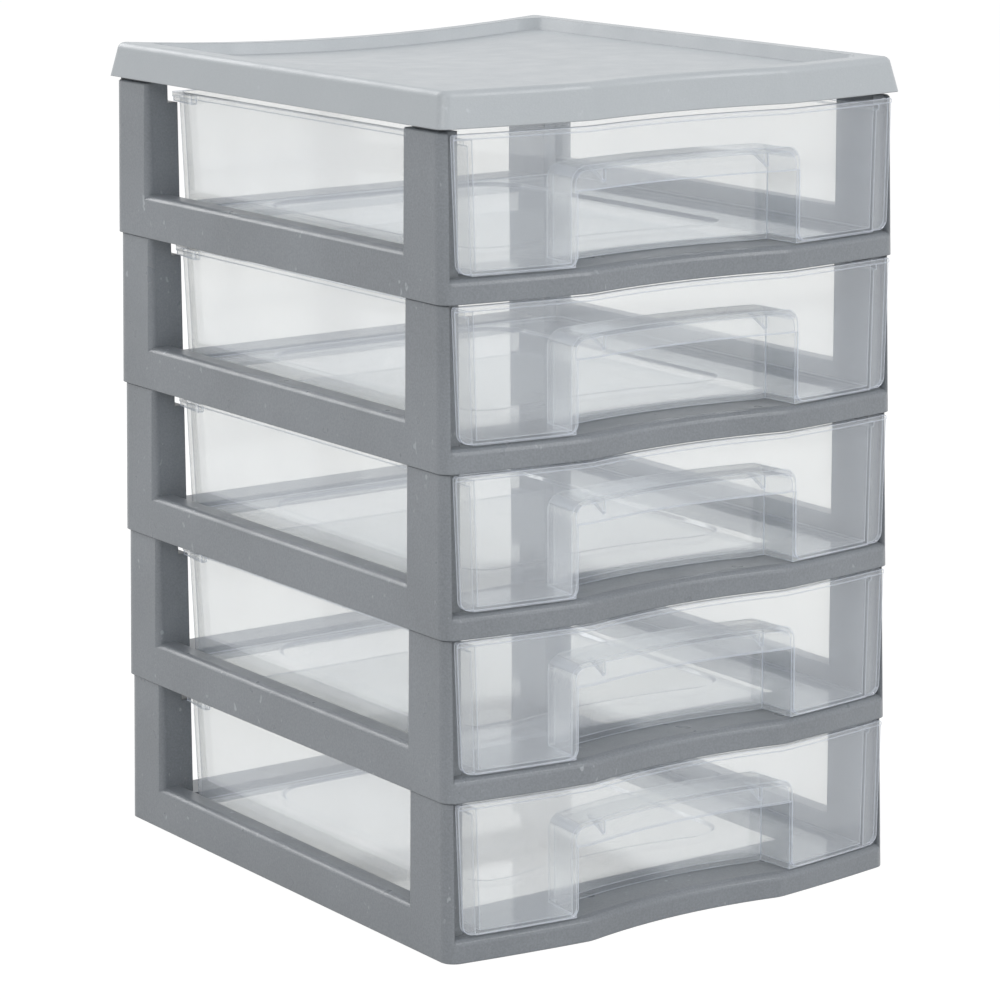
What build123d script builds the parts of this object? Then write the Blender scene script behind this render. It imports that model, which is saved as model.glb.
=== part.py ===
"""Desktop drawer tower: one lid, five stacked tier frames and five clear drawers.

Millimetres, +Z up. The origin is at the middle of the footprint, on the surface that the tower
stands on. The drawers open towards -Y.
"""

import os

from build123d import *

os.makedirs("parts", exist_ok=True)

# ---- tower ----
TIERS = 5
PITCH = 51.6  # height of one tier
FRAME_WIDTH = 176.6  # across the foot of a tier
CORNER_DEPTH = 199.9  # from the line through the front corners to the back face
CREST = 6.5  # how far the two crests of the wavy front stand in front of its corners
CREST_X = 38.0  # each crest's distance from the middle
MIDDLE_DIP = 4.2  # how far the front's middle lies behind its crests
FLANK_BULGE = 0.5  # outward bow of the front between a corner and its crest
CREST_ROUND = 12.0
FRAME_CORNER = 5.0  # radius of the upright edges
SEAM = 0.5  # bevel round the top of a post, which shows as the line between two tiers

# ---- tier frame ----
FRAME_WALL = 1.6
DRAFT = 0.8  # how much narrower a tier is at its top, on each side
RAIL_HEIGHT = 7.8  # top of the shelf that the drawer runs on
BEVEL_FOOT = 5.3  # where the rounded upper edge of the front rail starts
BEVEL_DEPTH = 3.2  # how far that edge runs back
ROUNDING = ((0, 0), (0.15, 0.48), (0.5, 0.84), (1, 1))  # its points: shares of its depth and rise
BEVEL_SIDE = 2.0  # strip left of the front post's face, outside its rounded inner edge
BEVEL_RUN = 1.0  # how far that edge runs inwards
BEVEL_KNEE = (0.8, 0.25)  # a point of that edge: shares of its run and of its depth
SIDE_RAIL_HEIGHT = 14.2
SHOULDER_FOOT = 9.8  # where the side rail's rounded shoulder starts
SHOULDER_DEPTH = 3.3  # how far the shoulder runs inwards
SHOULDER_BOW = 0.3  # how far it bows out, as a share of its depth and rise
FRONT_POST_DEPTH = 21.5
FRONT_POST_WIDTH = 7.7
REAR_POST_DEPTH = 22.3
REAR_POST_WIDTH = 13.0
NOTCH_HEIGHT = 6.9  # step at the top of a rear post's inner side
NOTCH_WIDTH = 3.7
LEDGE_WIDTH = 9.0  # the shelf's reach inside the front posts' inner sides
FRONT_SHELF = 24.0  # the shelf's depth behind the front corners
REAR_SHELF = 14.0
LIP_FOOT = 2.4  # lower edge of the lip that stiffens the shelf
RIB_THICKNESS = 1.4
RIB_SPACING = 30.0
SPIGOT_HEIGHT = 3.0
SPIGOT_CLEARANCE = 0.25
SPIGOT_BEVEL = 0.5

# ---- drawer ----
RUN_CLEARANCE = 0.3  # under the drawer
SIDE_CLEARANCE = 0.3  # between the drawer's top flange and a front post
BACK_CLEARANCE = 3.5  # between the shut drawer and the rear posts
TOP_CLEARANCE = 0.6  # between the drawer's front and the tier above
DRAWER_WALL = 1.3
FLOOR_THICKNESS = 1.4
DRAWER_DRAFT = 1.0  # how much narrower the drawer is at its floor, on each side
DRAWER_CORNER = 6.0
SIDE_TOP_DROP = 2.0  # the side walls end this far below the front panel's top
FLANGE_WIDTH = 1.2
FLANGE_HEIGHT = 1.6
FLANGE_CORNER = 2.5
PANEL_THICKNESS = 1.6
PANEL_PROUD = 0.2  # the panel's face in front of the frame's face
PANEL_OVERLAP = 4.2  # the reach of the panel's top past the bay's opening, on each side
PANEL_DRAFT = 1.4  # how much narrower the panel is at its foot, on each side
PANEL_LIFT = 1.0  # the panel's lower edge above the shelf
PANEL_CORNER = 3.5
PANEL_TOP_CORNER = 1.0
PANEL_RIM_HEIGHT = 1.5
PANEL_RIM_PROUD = 0.4
POCKET_WIDTH = 86.0  # finger pocket, across its mouth
POCKET_DEPTH = 15.0
POCKET_SLANT = 1.5  # how much each side wall of the pocket leans inwards
POCKET_CEILING = 37.5  # above the tier's foot
POCKET_CORNER = 3.0
POCKET_ROUND = 4.0  # radius along its upper side edges
PULL_EDGE = 31.5  # lower edge of the pull lip, above the tier's foot
GUSSET_X = 31.5
GUSSET_THICKNESS = 1.2
GUSSET_DEPTH = 6.0
GUSSET_LIFT = 1.0  # the rib's lowest point above the pull lip's edge
BEAD_WIDTH = 102.0  # sunken field of the floor
BEAD_FRONT = 30.0  # its distance behind the pocket
BEAD_BACK = 4.5  # its distance from the drawer's back
BEAD_DEPTH = 0.8
BEAD_SLOPE = 1.2
BEAD_CORNER = 16.0  # at its rear
BEAD_FRONT_CORNER = 9.0
BEAD_CORNER_SHARE = 0.7  # the most that radius takes of the space beside a crest
STOP_SETBACK = 17.5  # the stop wedge's face, from the drawer's back
STOP_PROUD = 1.8
STOP_HEIGHT = 3.0

# ---- lid ----
LID_SEAT = 1.1  # the skirt's lower edge above the top tier
LID_HEIGHT = 11.2
LID_OVERHANG = 0.8  # the skirt's lower edge outside the foot of a tier
LID_TAPER = 2.3  # how much narrower the lid is at its top, on each side
LID_CORNER = 3.5
LID_EDGE = 2.4  # radius of the top edge
LID_WALL = 1.8
SEAT_WALL = 1.2  # round the sockets under the lid
RIM_WIDTH = 7.0
RECESS_DEPTH = 4.0
RECESS_SLOPE = 2.0
RECESS_CORNER = 7.0
SAG = 3.4  # how far the rear edge dips in the middle
SAG_REACH = 120.0  # how far forward the dip runs out
SAG_WIDTH = 170.0  # across the dip, at the rear edge

# ---- worked out ----
HALF = FRAME_WIDTH / 2
OVERALL_FRONT = CREST + PANEL_PROUD + PANEL_RIM_PROUD
BACK = (CORNER_DEPTH + OVERALL_FRONT - LID_OVERHANG) / 2
FRONT = BACK - CORNER_DEPTH
BAY = HALF - FRONT_POST_WIDTH
REAR_BAY = HALF - REAR_POST_WIDTH
POST_REAR = FRONT + FRONT_POST_DEPTH
REAR_POST_FACE = BACK - REAR_POST_DEPTH
SHELF_FOOT = RAIL_HEIGHT - FRAME_WALL
SHELF_SIDE = BAY - LEDGE_WIDTH
TOWER_TOP = TIERS * PITCH
DRAWER_FOOT = RAIL_HEIGHT + RUN_CLEARANCE
PANEL_FOOT = RAIL_HEIGHT + PANEL_LIFT
PANEL_TOP = PITCH - TOP_CLEARANCE
SIDE_TOP = PANEL_TOP - SIDE_TOP_DROP
DRAWER_BACK = REAR_POST_FACE - BACK_CLEARANCE
FLANGE_HALF = BAY - SIDE_CLEARANCE
BODY_HALF = FLANGE_HALF - FLANGE_WIDTH
PANEL_HALF = BAY + PANEL_OVERLAP
PANEL_BACK = PANEL_THICKNESS - PANEL_PROUD
STOP_FACE = DRAWER_BACK - STOP_SETBACK
TRAVEL = STOP_FACE - POST_REAR

# ---- cutting tools and joins ----
FAR = 400.0  # longer than anything here
FRONT_REACH = 20.0  # past the front of everything
PAST = 1.0  # how far a tool runs past the face that it cuts
OVERLAP = 0.3  # how far a part of a piece reaches into the next
SAME = 0.01  # places closer than this count as one
MOSTLY = 0.9  # share of a direction along an axis that makes it count as that axis


def block(low, high):
    """Box between two corners."""
    size = [b - a for a, b in zip(low, high)]
    middle = [(a + b) / 2 for a, b in zip(low, high)]
    return Pos(*middle) * Box(*size)


def wave(inset, half):
    """Edges of the wavy front, from left to right, moved back by inset and ending at half."""
    corner_y = FRONT + inset
    crest_y = corner_y - CREST
    middle_x = (half + CREST_X) / 2
    middle_y = (corner_y + crest_y) / 2 - FLANK_BULGE
    left = ThreePointArc((-half, corner_y), (-middle_x, middle_y), (-CREST_X, crest_y))
    middle = ThreePointArc((-CREST_X, crest_y), (0, crest_y + MIDDLE_DIP), (CREST_X, crest_y))
    right = ThreePointArc((CREST_X, crest_y), (middle_x, middle_y), (half, corner_y))
    return [left, middle, right]


def outline(inset, corner):
    """Closed plan of the tower, drawn in by inset, with round corners and softened crests."""
    half = HALF - inset
    back_y = BACK - inset
    front = wave(inset, half)
    sides = Polyline((half, FRONT + inset), (half, back_y), (-half, back_y), (-half, FRONT + inset))
    face = make_face(Curve() + front + sides.edges())
    crests = face.vertices().filter_by(lambda v: abs(abs(v.X) - CREST_X) < SAME)
    face = fillet(crests, CREST_ROUND)
    corners = face.vertices().filter_by(lambda v: abs(abs(v.X) - half) < SAME)
    return fillet(corners, corner)


def behind_wave(inset, half, back_y):
    """Plan of all that lies behind the wavy front, as far out as half and as far back as back_y."""
    sides = Polyline((HALF, FRONT + inset), (HALF, back_y), (-HALF, back_y), (-HALF, FRONT + inset))
    face = make_face(Curve() + wave(inset, HALF) + sides.edges())
    crests = face.vertices().filter_by(lambda v: abs(abs(v.X) - CREST_X) < SAME)
    face = fillet(crests, CREST_ROUND)
    return face & Rectangle(2 * half, FAR)


def prism(face, low, high):
    """Plan drawn up from one height to another."""
    return extrude(Pos(0, 0, low) * face, high - low)


def tapered(*levels):
    """Solid through like plans, each given with its height."""
    return loft([(Pos(0, 0, height) * plan).face() for plan, height in levels], ruled=True)


def both_sides(solid):
    """The solid and its mirror image across the tower's middle."""
    return solid + mirror(solid, about=Plane.YZ)


# ---------------------------------------------------------------- tier frame


def window_cut():
    """Opening in the left side: its lower and rear edges are rounded outside."""
    outer = -HALF
    inner = outer + SHOULDER_DEPTH
    run = SHOULDER_DEPTH
    rise = SIDE_RAIL_HEIGHT - SHOULDER_FOOT
    knee_x = outer + run * (0.5 - SHOULDER_BOW)
    knee_z = SHOULDER_FOOT + rise * (0.5 + SHOULDER_BOW)
    section = make_face(
        Curve()
        + [ThreePointArc((outer, SHOULDER_FOOT), (knee_x, knee_z), (inner, SIDE_RAIL_HEIGHT))]
        + Polyline(
            (inner, SIDE_RAIL_HEIGHT),
            (PAST - BAY, SIDE_RAIL_HEIGHT),
            (PAST - BAY, PITCH + PAST),
            (outer - PAST, PITCH + PAST),
            (outer - PAST, SHOULDER_FOOT),
            (outer, SHOULDER_FOOT),
        ).edges()
    )
    upright = extrude(Plane.XZ * section, FAR / 2, both=True)
    knee_y = REAR_POST_FACE + rise * (0.5 - SHOULDER_BOW)
    plan = make_face(
        Curve()
        + [
            ThreePointArc(
                (outer, REAR_POST_FACE + rise), (knee_x, knee_y), (inner, REAR_POST_FACE)
            )
        ]
        + Polyline(
            (inner, REAR_POST_FACE),
            (PAST - BAY, REAR_POST_FACE),
            (PAST - BAY, POST_REAR),
            (outer - PAST, POST_REAR),
            (outer - PAST, REAR_POST_FACE + rise),
            (outer, REAR_POST_FACE + rise),
        ).edges()
    )
    return upright & prism(plan, 0, PITCH + PAST)


def front_cut():
    """Opening in front of the bay, with rounded edges along its posts and its rail."""
    mouth = HALF - BEVEL_SIDE
    inner = mouth - BEVEL_RUN
    start = FRONT - FLANK_BULGE
    land = FRONT + BEVEL_DEPTH
    clear = FRONT - 2 * CREST
    run_share, depth_share = BEVEL_KNEE
    knee = (mouth - run_share * BEVEL_RUN, start + depth_share * (land - start))
    half_plan = make_face(
        Curve()
        + [ThreePointArc((mouth, start), knee, (inner, land))]
        + Polyline((inner, land), (0, land), (0, clear), (mouth, clear), (mouth, start)).edges()
    )
    plan = half_plan + mirror(half_plan, about=Plane.YZ)
    rise = RAIL_HEIGHT - BEVEL_FOOT
    rounded_rail = tapered(
        *((behind_wave(BEVEL_DEPTH * back, HALF, 0), BEVEL_FOOT + rise * up) for back, up in ROUNDING)
    )
    return prism(plan, BEVEL_FOOT, PITCH + PAST) - rounded_rail


def post_hollow(low_x, high_x, low_y, high_y, top):
    """Core that leaves the left-hand post hollow from below."""
    return block((low_x, low_y, -PAST), (high_x, high_y, top))


def spigot(low_x, high_x, low_y, high_y, foot):
    """Peg on the left-hand post's top, which enters the piece above."""
    peg = block((low_x, low_y, foot - OVERLAP), (high_x, high_y, foot + SPIGOT_HEIGHT))
    return chamfer(peg.faces().sort_by(Axis.Z)[-1].edges(), SPIGOT_BEVEL)


# Each core is given by its lowest and highest X, then its lowest and highest Y.
OUTER_INSIDE = DRAFT + FRAME_WALL - HALF
FRONT_CORE = (OUTER_INSIDE, -BAY - FRAME_WALL, FRONT + BEVEL_DEPTH + FRAME_WALL, POST_REAR - FRAME_WALL)
REAR_CORE = (
    OUTER_INSIDE,
    -REAR_BAY - NOTCH_WIDTH - FRAME_WALL,
    REAR_POST_FACE + FRAME_WALL,
    BACK - DRAFT - FRAME_WALL,
)


def shrink(core, gap):
    """Core's plan drawn in by a gap on every side."""
    low_x, high_x, low_y, high_y = core
    return (low_x + gap, high_x - gap, low_y + gap, high_y - gap)


def underside():
    """Cores below the shelf: they leave the skirt, the shelf's lip and the cross ribs."""
    ring = prism(outline(FRAME_WALL, FRAME_CORNER - FRAME_WALL), -PAST, SHELF_FOOT)
    lip = FRAME_WALL
    kept = block(
        (-SHELF_SIDE - lip, FRONT + FRONT_SHELF - lip, LIP_FOOT),
        (SHELF_SIDE + lip, BACK - REAR_SHELF + lip, SHELF_FOOT),
    )
    ring -= kept
    side_ribs = int((REAR_POST_FACE - POST_REAR) / RIB_SPACING)
    for index in range(side_ribs + 1):
        y = POST_REAR + (index + 0.5) * (REAR_POST_FACE - POST_REAR) / (side_ribs + 1)
        rib = block(
            (-HALF, y - RIB_THICKNESS / 2, LIP_FOOT), (HALF, y + RIB_THICKNESS / 2, SHELF_FOOT)
        )
        ring -= rib
    end_ribs = int(2 * SHELF_SIDE / RIB_SPACING)
    for index in range(end_ribs + 1):
        x = -SHELF_SIDE + (index + 0.5) * 2 * SHELF_SIDE / (end_ribs + 1)
        rib = block(
            (x - RIB_THICKNESS / 2, FRONT - CREST, LIP_FOOT), (x + RIB_THICKNESS / 2, BACK, SHELF_FOOT)
        )
        ring -= rib
    return ring


def tier_frame():
    """One moulded tier, standing on Z = 0."""
    body = tapered(
        (outline(0, FRAME_CORNER), 0),
        (outline(DRAFT, FRAME_CORNER), PITCH - SEAM),
        (outline(DRAFT + SEAM, FRAME_CORNER), PITCH),
    )
    body -= block((-BAY, FRONT + BEVEL_DEPTH - PAST, RAIL_HEIGHT), (BAY, REAR_POST_FACE, PITCH + PAST))
    body -= block((-REAR_BAY, 0, RAIL_HEIGHT), (REAR_BAY, BACK + PAST, PITCH + PAST))
    notch = REAR_BAY + NOTCH_WIDTH
    body -= block((-notch, 0, PITCH - NOTCH_HEIGHT), (notch, BACK + PAST, PITCH + PAST))
    body -= block(
        (-SHELF_SIDE, FRONT + FRONT_SHELF, -PAST),
        (SHELF_SIDE, BACK - REAR_SHELF, RAIL_HEIGHT + PAST),
    )
    body -= front_cut()
    body -= underside()
    cuts = window_cut()
    cuts += post_hollow(*FRONT_CORE, PITCH - FRAME_WALL)
    cuts += post_hollow(*REAR_CORE, PITCH - FRAME_WALL)
    low_x, high_x, low_y, high_y = REAR_CORE
    inner_core = (high_x - OVERLAP, -REAR_BAY - FRAME_WALL, low_y, high_y)
    cuts += post_hollow(*inner_core, PITCH - NOTCH_HEIGHT - FRAME_WALL)
    low_x, high_x, low_y, high_y = FRONT_CORE
    side_end = REAR_POST_FACE + 2 * FRAME_WALL
    cuts += post_hollow(low_x, high_x, high_y - PAST, side_end, SHOULDER_FOOT)
    body -= both_sides(cuts)
    pegs = spigot(*shrink(FRONT_CORE, SPIGOT_CLEARANCE), PITCH)
    pegs += spigot(*shrink(REAR_CORE, SPIGOT_CLEARANCE), PITCH)
    return body + both_sides(pegs)


# -------------------------------------------------------------------- drawer


def drawer_plan(inset, front_inset, half, back_y, corner):
    """Plan of the drawer's box, with round rear corners."""
    face = behind_wave(front_inset, half - inset, back_y - inset)
    rear = face.vertices().group_by(Axis.Y)[-1]
    return fillet(rear, corner)


def drawer_box(inset, front_inset, low, high):
    """Tapered block of the drawer, drawn in by inset."""
    corner = DRAWER_CORNER - inset
    wide = drawer_plan(inset, front_inset, BODY_HALF, DRAWER_BACK, corner)
    share = (low - DRAWER_FOOT) / (SIDE_TOP - DRAWER_FOOT)
    slim_inset = inset + DRAWER_DRAFT * (1 - share)
    slim = drawer_plan(slim_inset, front_inset, BODY_HALF, DRAWER_BACK, corner)
    body = tapered((slim, low), (wide, SIDE_TOP))
    if high > SIDE_TOP:
        body += prism(wide, SIDE_TOP, high)
    return body


def pocket_plan(grow, front_inset, depth):
    """Plan of the finger pocket, grown outwards by grow: its sides lean in towards the back."""
    mouth = POCKET_WIDTH / 2 + grow
    waist = mouth - POCKET_SLANT
    lean = POCKET_SLANT / POCKET_DEPTH
    mouth_y = FRONT - CREST
    ahead = 2 * FRONT_REACH
    deep = mouth_y + depth + MIDDLE_DIP
    sides = make_face(
        Polyline(
            (-mouth - lean * ahead, mouth_y - ahead),
            (-mouth, mouth_y),
            (-waist, deep),
            (waist, deep),
            (mouth, mouth_y),
            (mouth + lean * ahead, mouth_y - ahead),
            close=True,
        )
    )
    slab = behind_wave(front_inset, BAY, 0) - behind_wave(depth, BAY, PAST)
    return sides & slab


def pocket(grow, depth):
    """Finger pocket's space, grown outwards by grow, with rounded upper side edges."""
    plan = pocket_plan(grow, -FRONT_REACH, depth + grow)
    space = prism(plan, DRAWER_FOOT - PAST, POCKET_CEILING + grow)
    top = space.faces().sort_by(Axis.Z)[-1]
    sides = [edge for edge in top.edges() if abs(edge.tangent_at(0.5).Y) > MOSTLY]
    return fillet(sides, POCKET_ROUND + grow)


def panel_shape():
    """Front view of the panel: a rounded plate with the pocket's mouth cut from its foot."""
    foot_half = PANEL_HALF - PANEL_DRAFT
    plate = make_face(
        Polyline(
            (-foot_half, PANEL_FOOT),
            (foot_half, PANEL_FOOT),
            (PANEL_HALF, PANEL_TOP),
            (-PANEL_HALF, PANEL_TOP),
            close=True,
        )
    )
    plate = fillet(plate.vertices().group_by(Axis.Y)[0], PANEL_CORNER)
    plate = fillet(plate.vertices().group_by(Axis.Y)[-1], PANEL_TOP_CORNER)
    mouth_low = PANEL_FOOT - PAST
    mouth = Pos(0, (PULL_EDGE + mouth_low) / 2) * Rectangle(POCKET_WIDTH, PULL_EDGE - mouth_low)
    plate -= mouth
    feet = plate.vertices().filter_by(
        lambda v: abs(abs(v.X) - POCKET_WIDTH / 2) < SAME and v.Y < PANEL_FOOT + SAME
    )
    return fillet(feet, POCKET_CORNER)


def front_panel():
    """Wavy front plate, with a bead along its top edge."""
    face_on = extrude(Plane.XZ * panel_shape(), FAR / 2, both=True)
    behind = behind_wave(PANEL_BACK, HALF, PAST)
    sheet_plan = behind_wave(-PANEL_PROUD, HALF, 0) - behind
    rim_plan = behind_wave(-PANEL_PROUD - PANEL_RIM_PROUD, HALF, 0) - behind
    sheet = prism(sheet_plan, PANEL_FOOT, PANEL_TOP)
    rim = prism(rim_plan, PANEL_TOP - PANEL_RIM_HEIGHT, PANEL_TOP)
    return (sheet + rim) & face_on


def stop_wedge():
    """Wedge outside the left wall's rear top corner, steep in front, which stops the drawer."""
    root = -FLANGE_HALF + OVERLAP
    plan = make_face(
        Polyline(
            (root, STOP_FACE),
            (-FLANGE_HALF - STOP_PROUD, STOP_FACE),
            (-FLANGE_HALF, DRAWER_BACK - FLANGE_CORNER),
            (root, DRAWER_BACK - FLANGE_CORNER),
            close=True,
        )
    )
    return prism(plan, SIDE_TOP - STOP_HEIGHT, SIDE_TOP)


def floor_field():
    """Shallow pan pressed into the drawer's floor, with sloping sides and a wavy front edge."""
    floor_top = DRAWER_FOOT + FLOOR_THICKNESS
    front_inset = POCKET_DEPTH + BEAD_FRONT
    half = BEAD_WIDTH / 2
    back_y = DRAWER_BACK - BEAD_BACK

    def plan(inset):
        face = behind_wave(front_inset + inset, half - inset, back_y - inset)
        front_corner = min(BEAD_FRONT_CORNER, (half - CREST_X) * BEAD_CORNER_SHARE) - inset
        for corner, radius in ((0, front_corner), (-1, BEAD_CORNER - inset)):
            ends = [v for v in face.vertices() if abs(abs(v.X) - half + inset) < SAME]
            pair = sorted(ends, key=lambda v: v.Y)
            pair = pair[:2] if corner == 0 else pair[-2:]
            face = fillet(pair, radius)
        return face

    return tapered((plan(BEAD_SLOPE), floor_top - BEAD_DEPTH), (plan(0), floor_top + SAME))


def drawer():
    """One clear drawer at its shut place in the lowest tier."""
    wall = DRAWER_WALL
    joint = PANEL_BACK - OVERLAP
    body = drawer_box(0, joint, DRAWER_FOOT, SIDE_TOP)
    flange_plan = drawer_plan(0, joint, FLANGE_HALF, DRAWER_BACK, FLANGE_CORNER)
    body += prism(flange_plan, SIDE_TOP - FLANGE_HEIGHT, SIDE_TOP)
    body += both_sides(stop_wedge())
    room = drawer_box(wall, PANEL_BACK, DRAWER_FOOT + FLOOR_THICKNESS, SIDE_TOP + PAST)
    deep = POCKET_DEPTH - PANEL_PROUD
    room -= pocket(wall, deep)
    body -= room
    body -= floor_field()
    body += front_panel()
    behind = prism(behind_wave(PANEL_BACK, HALF, 0), PULL_EDGE, PITCH)
    below = block((-HALF, FRONT - 2 * FRONT_REACH, 0), (HALF, 0, PULL_EDGE))
    hollow = pocket(0, deep)
    body -= (hollow & behind) + (hollow & below)
    for x in (-GUSSET_X, GUSSET_X):
        body += gusset(x)
    return body


def gusset(x):
    """Small triangular rib between the pull lip's back and the pocket's ceiling."""
    front_y = FRONT - CREST + PANEL_BACK
    side = make_face(
        Polyline(
            (front_y - OVERLAP, PULL_EDGE + GUSSET_LIFT),
            (front_y + GUSSET_DEPTH + MIDDLE_DIP, POCKET_CEILING + OVERLAP),
            (front_y - OVERLAP, POCKET_CEILING + OVERLAP),
            close=True,
        )
    )
    rib = Pos(x, 0, 0) * extrude(Plane.YZ * side, GUSSET_THICKNESS / 2, both=True)
    return rib & prism(behind_wave(PANEL_BACK - OVERLAP, HALF, 0), 0, PITCH)


# ----------------------------------------------------------------------- lid


def sag_roller(drop):
    """Large roller tipped down to the rear, whose underside is the lid's dip lowered by drop."""
    radius = (SAG_WIDTH**2 / 4 + SAG**2) / (2 * SAG)
    lean = SAG / SAG_REACH
    centre_z = LID_HEIGHT - drop + radius * (1 + lean**2) ** 0.5
    plane = Plane(origin=(0, BACK - SAG_REACH, centre_z), x_dir=(1, 0, 0), z_dir=(0, 1, -lean))
    return extrude(plane * Circle(radius), FAR / 2, both=True)


def above(drop):
    """All that lies above the lid's top surface lowered by drop."""
    return block((-FAR / 2, -FAR / 2, LID_HEIGHT - drop), (FAR / 2, FAR / 2, FAR)) + sag_roller(drop)


def outer_top_edges(body):
    """Edges that the upward faces share with the outside of the lid."""
    upward = [face for face in body.faces() if face.normal_at(face.center()).Z > MOSTLY]
    edges = [edge for face in upward for edge in face.edges()]
    return [edge for edge in edges if sum(edge.is_same(other) for other in edges) == 1]


def lid_seats():
    """Corner-shaped seats under the left side of the lid: each stands on a post, hugs the inner
    half of its peg, and stays clear of the skirt, so that a dark gap shows under the skirt.
    """
    socket_top = SPIGOT_HEIGHT + SPIGOT_CLEARANCE - LID_SEAT
    seats = Part()
    for core in (FRONT_CORE, REAR_CORE):
        low_x, high_x, low_y, high_y = core
        middle_x = (low_x + high_x) / 2
        middle_y = (low_y + high_y) / 2
        inner_y = high_y + SEAT_WALL if core is FRONT_CORE else low_y - SEAT_WALL
        low = (middle_x, min(middle_y, inner_y), -LID_SEAT)
        high = (high_x + SEAT_WALL, max(middle_y, inner_y), LID_HEIGHT)
        seats += block(low, high) - block((low_x, low_y, -LID_SEAT - PAST), (high_x, high_y, socket_top))
    return seats - above(LID_WALL / 2)


def lid():
    """Tray lid with a raised rim; its skirt's lower edge is at Z = 0."""
    top_inset = LID_TAPER - LID_OVERHANG
    foot_inset = -LID_OVERHANG
    body = tapered((outline(foot_inset, LID_CORNER), 0), (outline(top_inset, LID_CORNER), LID_HEIGHT))
    body -= sag_roller(0)
    body = fillet(outer_top_edges(body), LID_EDGE)
    inside = tapered(
        (outline(foot_inset + LID_WALL, LID_CORNER), 0),
        (outline(top_inset + LID_WALL, LID_CORNER), LID_HEIGHT),
    )
    inside += prism(outline(foot_inset + LID_WALL, LID_CORNER), -PAST, 0)
    rim = top_inset + RIM_WIDTH
    gutter = inside - prism(outline(rim - LID_WALL, RECESS_CORNER), -PAST, LID_HEIGHT)
    body -= (inside - above(RECESS_DEPTH + LID_WALL)) + (gutter - above(LID_WALL))
    body += both_sides(lid_seats())
    slope = RECESS_SLOPE / RECESS_DEPTH
    low = LID_HEIGHT - RECESS_DEPTH - SAG - PAST
    high = LID_HEIGHT + PAST
    recess = tapered(
        (outline(rim + slope * (LID_HEIGHT - low), RECESS_CORNER), low),
        (outline(rim + slope * (LID_HEIGHT - high), RECESS_CORNER), high),
    )
    return body - (recess & above(RECESS_DEPTH))


def main():
    frame = tier_frame()
    tray = drawer()
    for tier in range(TIERS):
        export_step(Pos(0, 0, tier * PITCH) * frame, f"parts/tier_frame_{tier + 1}.step")
        export_step(Pos(0, 0, tier * PITCH) * tray, f"parts/drawer_{tier + 1}.step")
    export_step(Pos(0, 0, TOWER_TOP + LID_SEAT) * lid(), "parts/top_cover.step")


main()
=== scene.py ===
"""Desktop drawer tower in plain studio light: camera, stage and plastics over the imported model."""

import math

import bpy
from mathutils import Matrix, Vector

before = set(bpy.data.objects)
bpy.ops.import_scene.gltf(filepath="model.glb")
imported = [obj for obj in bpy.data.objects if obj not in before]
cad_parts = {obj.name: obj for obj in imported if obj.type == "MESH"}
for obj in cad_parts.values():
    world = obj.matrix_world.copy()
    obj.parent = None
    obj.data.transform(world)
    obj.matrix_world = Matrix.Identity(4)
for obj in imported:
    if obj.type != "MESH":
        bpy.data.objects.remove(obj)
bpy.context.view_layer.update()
scene = bpy.context.scene

MM = 0.001
TIERS = 5
PITCH = 51.6 * MM
MIDDLE = Vector((0, 0, TIERS * PITCH / 2))
WHITE = (1, 1, 1)

# ---- camera: where the photograph was taken from ----
# The photograph's lens was shifted. A shift would push the tower out of every other view, so
# this camera has none, and looks down a little instead.
CAMERA_PLACE = (-0.7165, -1.0313, 0.3904)
CAMERA_YAW = 34.76  # degrees, from +Y towards +X
CAMERA_PITCH = 12.18  # degrees, downwards
CAMERA_ROLL = -0.29  # degrees
FOCAL_SHARE = 3.8246  # focal length as a share of the sensor's width
SENSOR = 36.0
NEAREST, FARTHEST = 0.05, 50


def make_camera():
    yaw, pitch, roll = (math.radians(a) for a in (CAMERA_YAW, CAMERA_PITCH, CAMERA_ROLL))
    level = Vector((math.sin(yaw), math.cos(yaw), 0))
    side = Vector((math.cos(yaw), -math.sin(yaw), 0))
    forward = level * math.cos(pitch) - Vector((0, 0, math.sin(pitch)))
    upright = side.cross(forward)
    right = side * math.cos(roll) + upright * math.sin(roll)
    up = upright * math.cos(roll) - side * math.sin(roll)
    turn = Matrix((right, up, -forward)).transposed().to_4x4()
    data = bpy.data.cameras.new("camera")
    data.sensor_width = SENSOR
    data.lens = FOCAL_SHARE * SENSOR
    data.clip_start = NEAREST
    data.clip_end = FARTHEST
    camera = bpy.data.objects.new("camera", data)
    camera.matrix_world = Matrix.Translation(CAMERA_PLACE) @ turn
    scene.collection.objects.link(camera)
    scene.camera = camera


# ---- small helpers for node trees ----
BEVEL_SAMPLES = 4


def new_material(name):
    material = bpy.data.materials.new(name)
    material.use_nodes = True
    nodes = material.node_tree.nodes
    nodes.clear()
    output = nodes.new("ShaderNodeOutputMaterial")
    return material, nodes, material.node_tree.links, output


def set_or_link(links, socket, value):
    if isinstance(value, (int, float)):
        socket.default_value = value
    else:
        links.new(value, socket)


def noise(nodes, links, coordinates, scale, detail=2.0, roughness=0.5):
    node = nodes.new("ShaderNodeTexNoise")
    node.inputs["Scale"].default_value = scale
    node.inputs["Detail"].default_value = detail
    node.inputs["Roughness"].default_value = roughness
    links.new(coordinates, node.inputs["Vector"])
    return node.outputs["Fac"]


def ramp(nodes, links, value, reach, low=0.0, high=1.0):
    """Carry value from reach[0]..reach[1] over to low..high."""
    node = nodes.new("ShaderNodeMapRange")
    node.inputs["From Min"].default_value, node.inputs["From Max"].default_value = reach
    node.inputs["To Min"].default_value = low
    node.inputs["To Max"].default_value = high
    links.new(value, node.inputs["Value"])
    return node.outputs["Result"]


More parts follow.
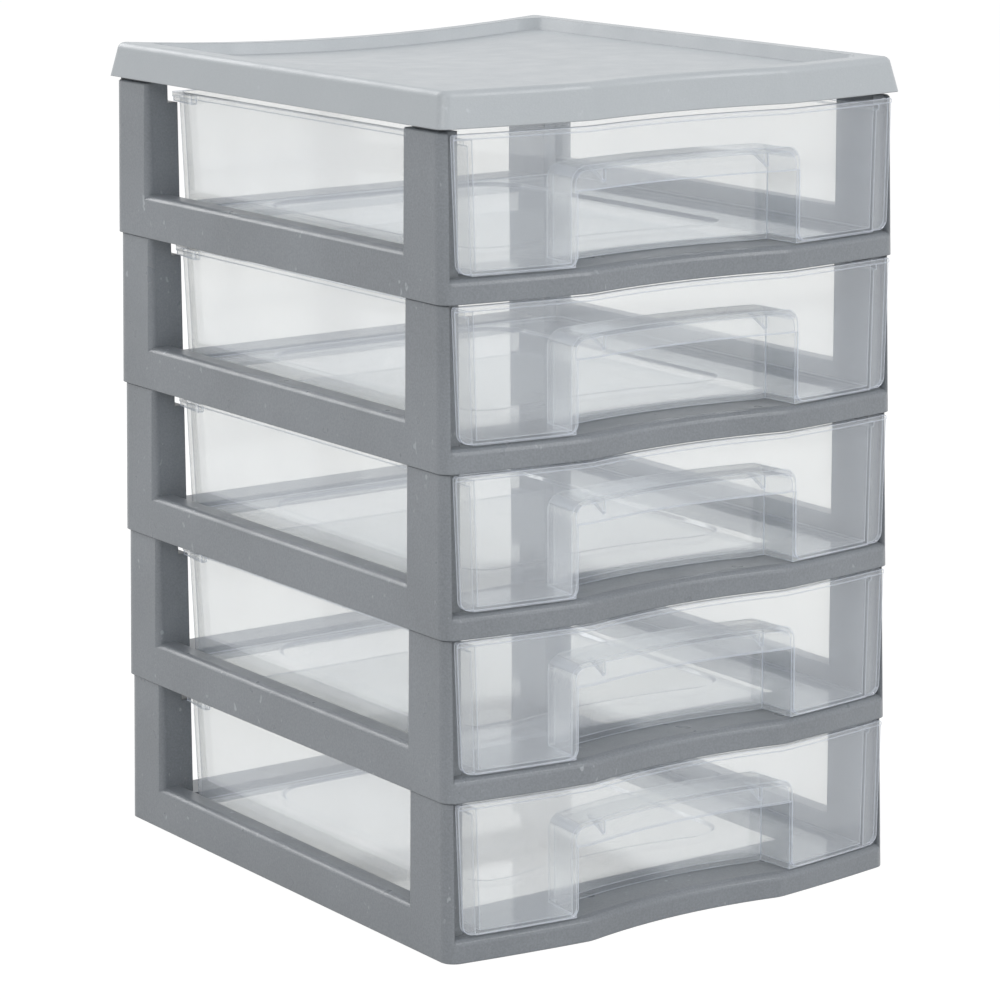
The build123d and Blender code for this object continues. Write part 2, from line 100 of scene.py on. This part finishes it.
def math_node(nodes, links, operation, first, second, clamp=False):
    node = nodes.new("ShaderNodeMath")
    node.operation = operation
    node.use_clamp = clamp
    set_or_link(links, node.inputs[0], first)
    set_or_link(links, node.inputs[1], second)
    return node.outputs[0]


def mix_colour(nodes, links, factor, first, second):
    node = nodes.new("ShaderNodeMix")
    node.data_type = "RGBA"
    links.new(factor, node.inputs["Factor"])
    for name, value in (("A", first), ("B", second)):
        socket = [s for s in node.inputs if s.name == name and s.type == "RGBA"][0]
        if isinstance(value, tuple):
            socket.default_value = (*value, 1)
        else:
            links.new(value, socket)
    return [s for s in node.outputs if s.type == "RGBA"][0]


def coloured(nodes, kind, colour):
    shader = nodes.new(kind)
    shader.inputs["Color"].default_value = (*colour, 1)
    return shader


def mix_shaders(nodes, links, factor, first, second):
    mix = nodes.new("ShaderNodeMixShader")
    set_or_link(links, mix.inputs["Fac"], factor)
    links.new(first.outputs[0], mix.inputs[1])
    links.new(second.outputs[0], mix.inputs[2])
    return mix


def bump(nodes, links, height, strength, distance):
    node = nodes.new("ShaderNodeBump")
    node.inputs["Strength"].default_value = strength
    node.inputs["Distance"].default_value = distance
    links.new(height, node.inputs["Height"])
    return node


def rounded_normal(nodes, radius):
    bevel = nodes.new("ShaderNodeBevel")
    bevel.samples = BEVEL_SAMPLES
    bevel.inputs["Radius"].default_value = radius
    return bevel.outputs[0]


def seen_by_camera(nodes, links):
    """1 for camera, mirrored and refracted rays, 0 for those that only light the tower."""
    path = nodes.new("ShaderNodeLightPath").outputs
    seen = math_node(nodes, links, "MAXIMUM", path["Is Camera Ray"], path["Is Glossy Ray"])
    return math_node(nodes, links, "MAXIMUM", seen, path["Is Transmission Ray"])


# ---- lid and tier frames: opaque plastic ----
SPECULAR = 0.5
CLOUD_SCALE, CLOUD_REACH, CLOUD_SHARE = 22, (0.35, 0.65), 0.4
FLECK_REACH, FLECK_SHARE = (0.34, 0.66), 0.6
GRAIN_DEPTH = 0.12 * MM
OPAQUE_ROUNDING = 0.6 * MM
SCUFF_TURN, SCUFF_STRETCH = (0.3, 0.5, 0.2), (1, 0.8, 0.6)
SCUFF_SCALE, SCUFF_REACH = 520, (0.7, 0.76)
WORN_SCALE, WORN_REACH = 45, (0.5, 0.62)  # where the scuffs gather
SCUFF_GAIN, SCUFF_LIFT = 1.5, 0.12  # how much paler a scuff is than its plastic
POLISH_SCALE, POLISH_REACH = 90, (0.3, 0.7)
SMOOTHER, ROUGHER = 0.05, 0.07


def moulded_plastic(name, colour, shade, roughness, grain, grain_scale, scuff):
    """Opaque moulded plastic: fine leathery grain, faint cloudiness and small pale scuffs."""
    material, nodes, links, output = new_material(name)
    place = nodes.new("ShaderNodeTexCoord").outputs["Object"]
    shader = nodes.new("ShaderNodeBsdfPrincipled")
    links.new(shader.outputs[0], output.inputs["Surface"])
    shader.inputs["Specular IOR Level"].default_value = SPECULAR

    clouds = ramp(nodes, links, noise(nodes, links, place, CLOUD_SCALE, 3), CLOUD_REACH)
    flecks = noise(nodes, links, place, grain_scale, 2, 0.6)
    tone = math_node(nodes, links, "MULTIPLY", clouds, CLOUD_SHARE)
    fleck_tone = ramp(nodes, links, flecks, FLECK_REACH, 0.0, FLECK_SHARE)
    tone = math_node(nodes, links, "ADD", tone, fleck_tone, True)
    base = mix_colour(nodes, links, tone, shade, colour)

    scratches = nodes.new("ShaderNodeMapping")
    scratches.inputs["Rotation"].default_value = SCUFF_TURN
    scratches.inputs["Scale"].default_value = SCUFF_STRETCH
    links.new(place, scratches.inputs["Vector"])
    marks = noise(nodes, links, scratches.outputs[0], SCUFF_SCALE, 1, 0.4)
    marks = ramp(nodes, links, marks, SCUFF_REACH)
    patches = ramp(nodes, links, noise(nodes, links, place, WORN_SCALE, 2), WORN_REACH)
    wear = math_node(nodes, links, "MULTIPLY", marks, patches)
    wear = math_node(nodes, links, "MULTIPLY", wear, scuff)
    pale = tuple(min(1, c * SCUFF_GAIN + SCUFF_LIFT) for c in colour)
    base = mix_colour(nodes, links, wear, base, pale)
    links.new(base, shader.inputs["Base Color"])

    polish = noise(nodes, links, place, POLISH_SCALE, 3)
    rough = ramp(nodes, links, polish, POLISH_REACH, roughness - SMOOTHER, roughness + ROUGHER)
    links.new(rough, shader.inputs["Roughness"])
    leather = bump(nodes, links, flecks, grain, GRAIN_DEPTH)
    links.new(rounded_normal(nodes, OPAQUE_ROUNDING), leather.inputs["Normal"])
    links.new(leather.outputs[0], shader.inputs["Normal"])
    return material


# ---- drawers: clear plastic ----
GLOSS = 0.1  # what clear plastic mirrors of a ray that meets it head on
GLOSS_RISE = 5  # power by which that grows towards a grazing ray
MIRROR_TINT = (0.93, 0.96, 1)
MIRROR_ROUGHNESS = 0.03, 0.09
WAVE_SCALE, WAVE_STRENGTH, WAVE_DEPTH = 26, 0.2, 0.5 * MM
MIST_SCALE, MIST_SPREAD = 14, (0.8, 1.2)
SMEAR_SCALE = 35
EVEN_REACH = (0.3, 0.7)
CLEAR_ROUNDING = 0.7 * MM
# painted highlight: near sharp edges up to this share of the white haze is mixed in
EDGE_REACH, EDGE_HIGHLIGHT_SHARE = (0.995, 0.955), 0.8
# painted highlight: sloped walls get more of the white haze than flat and upright walls, standing in
# for light they catch; both reaches are of the normal's height
FLAT_REACH, UPRIGHT_REACH, SLOPE_HIGHLIGHT_SHARE = (0.97, 0.9), (0.3, 0.45), 0.5


def edge_highlight_share(nodes, links, plain):
    """Painted highlight: more of the white haze near a sharp edge, standing in for light the edge
    catches; the edge is near where the rounded normal leaves the plain one.
    """
    dot = nodes.new("ShaderNodeVectorMath")
    dot.operation = "DOT_PRODUCT"
    links.new(rounded_normal(nodes, CLEAR_ROUNDING), dot.inputs[0])
    links.new(plain, dot.inputs[1])
    return ramp(nodes, links, dot.outputs["Value"], EDGE_REACH, 0.0, EDGE_HIGHLIGHT_SHARE)


def slope_highlight_share(nodes, links, plain):
    """Painted highlight: more white haze on a wall by how far it slopes between level and upright.
    """
    parts = nodes.new("ShaderNodeSeparateXYZ")
    links.new(plain, parts.inputs[0])
    tilt = math_node(nodes, links, "ABSOLUTE", parts.outputs["Z"], 0)
    off_level = ramp(nodes, links, tilt, FLAT_REACH)
    off_upright = ramp(nodes, links, tilt, UPRIGHT_REACH, 0.0, SLOPE_HIGHLIGHT_SHARE)
    return math_node(nodes, links, "MULTIPLY", off_level, off_upright)


def clear_plastic(name, tint, haze_colour, haze, edge_haze):
    """Clear moulded plastic in thin walls: a faint milky haze, a hard gloss, and painted highlights
    of paler haze on sharp edges and slopes.
    """
    material, nodes, links, output = new_material(name)
    place = nodes.new("ShaderNodeTexCoord").outputs["Object"]
    waves = bump(
        nodes, links, noise(nodes, links, place, WAVE_SCALE, 1), WAVE_STRENGTH, WAVE_DEPTH
    )

    through = coloured(nodes, "ShaderNodeBsdfTransparent", tint)
    front_lit = coloured(nodes, "ShaderNodeBsdfDiffuse", haze_colour)
    back_lit = coloured(nodes, "ShaderNodeBsdfTranslucent", haze_colour)
    milk = mix_shaders(nodes, links, 0.5, front_lit, back_lit)

    facing = nodes.new("ShaderNodeLayerWeight")
    facing.inputs["Blend"].default_value = 0.3
    mist = noise(nodes, links, place, MIST_SCALE, 3)
    mist = ramp(nodes, links, mist, EVEN_REACH, *(haze * s for s in MIST_SPREAD))
    share = math_node(nodes, links, "MULTIPLY", facing.outputs["Facing"], edge_haze)
    share = math_node(nodes, links, "ADD", share, mist, True)
    plain = nodes.new("ShaderNodeNewGeometry").outputs["True Normal"]
    # painted highlights: more white haze on sharp edges and on slopes
    for painted_highlight in (edge_highlight_share, slope_highlight_share):
        share = math_node(nodes, links, "MAXIMUM", share, painted_highlight(nodes, links, plain))
    haze_and_highlights = mix_shaders(nodes, links, share, through, milk)

    mirror = coloured(nodes, "ShaderNodeBsdfGlossy", MIRROR_TINT)
    smears = noise(nodes, links, place, SMEAR_SCALE, 2)
    smears = ramp(nodes, links, smears, EVEN_REACH, *MIRROR_ROUGHNESS)
    links.new(smears, mirror.inputs["Roughness"])
    links.new(waves.outputs[0], mirror.inputs["Normal"])
    slant = nodes.new("ShaderNodeLayerWeight")
    slant.inputs["Blend"].default_value = 0.5
    links.new(waves.outputs[0], slant.inputs["Normal"])
    sheen = math_node(nodes, links, "POWER", slant.outputs["Facing"], GLOSS_RISE)
    sheen = math_node(nodes, links, "MULTIPLY", sheen, 1 - GLOSS)
    sheen = math_node(nodes, links, "ADD", sheen, GLOSS, True)
    surface = mix_shaders(nodes, links, sheen, haze_and_highlights, mirror)
    links.new(surface.outputs[0], output.inputs["Surface"])
    return material


def dress(node, material):
    for material_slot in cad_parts[node].material_slots:
        material_slot.material = material


# ---- stage: white to the camera, plain light on the tower ----
FLOOR_REACH = 6.0
FLOOR_DROP = 0.2 * MM
FLOOR_COLOUR = (0.8, 0.8, 0.79)
FLOOR_GLOW, FLOOR_GLOW_SHARE = 1.15, 0.8
SKY_STRENGTH, BACKDROP_STRENGTH = 0.6, 1.0
# name, place, side in metres, power in watts
SOFTBOXES = (
    ("left_softbox", (-1.25, -0.7, 1.1), 0.6, 5),
    ("front_softbox", (0.7, -1.15, 1.2), 0.6, 9),
    ("rear_softbox", (-0.3, 1.5, 1.1), 0.8, 9),
)


def make_floor():
    mesh = bpy.data.meshes.new("floor")
    signs = ((-1, -1), (1, -1), (1, 1), (-1, 1))
    corners = [(x * FLOOR_REACH, y * FLOOR_REACH, 0) for x, y in signs]
    mesh.from_pydata(corners, [], [(0, 1, 2, 3)])
    floor = bpy.data.objects.new("floor", mesh)
    floor.location.z = -FLOOR_DROP
    scene.collection.objects.link(floor)
    material, nodes, links, output = new_material("floor")
    matt = coloured(nodes, "ShaderNodeBsdfDiffuse", FLOOR_COLOUR)
    glow = coloured(nodes, "ShaderNodeEmission", WHITE)
    glow.inputs["Strength"].default_value = FLOOR_GLOW
    seen = seen_by_camera(nodes, links)
    share = math_node(nodes, links, "MULTIPLY", seen, FLOOR_GLOW_SHARE)
    surface = mix_shaders(nodes, links, share, matt, glow)
    links.new(surface.outputs[0], output.inputs["Surface"])
    mesh.materials.append(material)


def make_world():
    world = bpy.data.worlds.new("studio")
    world.use_nodes = True
    nodes = world.node_tree.nodes
    links = world.node_tree.links
    nodes.clear()
    output = nodes.new("ShaderNodeOutputWorld")
    sky = coloured(nodes, "ShaderNodeBackground", WHITE)
    sky.inputs["Strength"].default_value = SKY_STRENGTH
    backdrop = coloured(nodes, "ShaderNodeBackground", WHITE)
    backdrop.inputs["Strength"].default_value = BACKDROP_STRENGTH
    surface = mix_shaders(nodes, links, seen_by_camera(nodes, links), sky, backdrop)
    links.new(surface.outputs[0], output.inputs["Surface"])
    scene.world = world


def softbox(name, place, side, power):
    data = bpy.data.lights.new(name, "AREA")
    data.shape = "RECTANGLE"
    data.size = data.size_y = side
    data.energy = power
    lamp = bpy.data.objects.new(name, data)
    aim = MIDDLE - Vector(place)
    lamp.rotation_euler = aim.to_track_quat("-Z", "Y").to_euler()
    lamp.location = place
    lamp.visible_camera = False
    scene.collection.objects.link(lamp)


make_camera()
make_world()
make_floor()
for box in SOFTBOXES:
    softbox(*box)

LID = moulded_plastic(
    "lid_plastic",
    colour=(0.45, 0.48, 0.505),
    shade=(0.415, 0.445, 0.47),
    roughness=0.38,
    grain=0.3,
    grain_scale=1800,
    scuff=0.15,
)
FRAME = moulded_plastic(
    "frame_plastic",
    colour=(0.25, 0.27, 0.295),
    shade=(0.19, 0.206, 0.225),
    roughness=0.32,
    grain=0.5,
    grain_scale=1500,
    scuff=0.5,
)
CLEAR = clear_plastic(
    "drawer_plastic",
    tint=(1.0, 0.998, 0.984),
    haze_colour=(0.84, 0.89, 1.0),
    haze=0.115,
    edge_haze=0.06,
)

dress("top_cover", LID)
for tier in range(1, TIERS + 1):
    dress(f"tier_frame_{tier}", FRAME)
    dress(f"drawer_{tier}", CLEAR)

scene.view_settings.view_transform = "Standard"
scene.cycles.transparent_max_bounces = 48
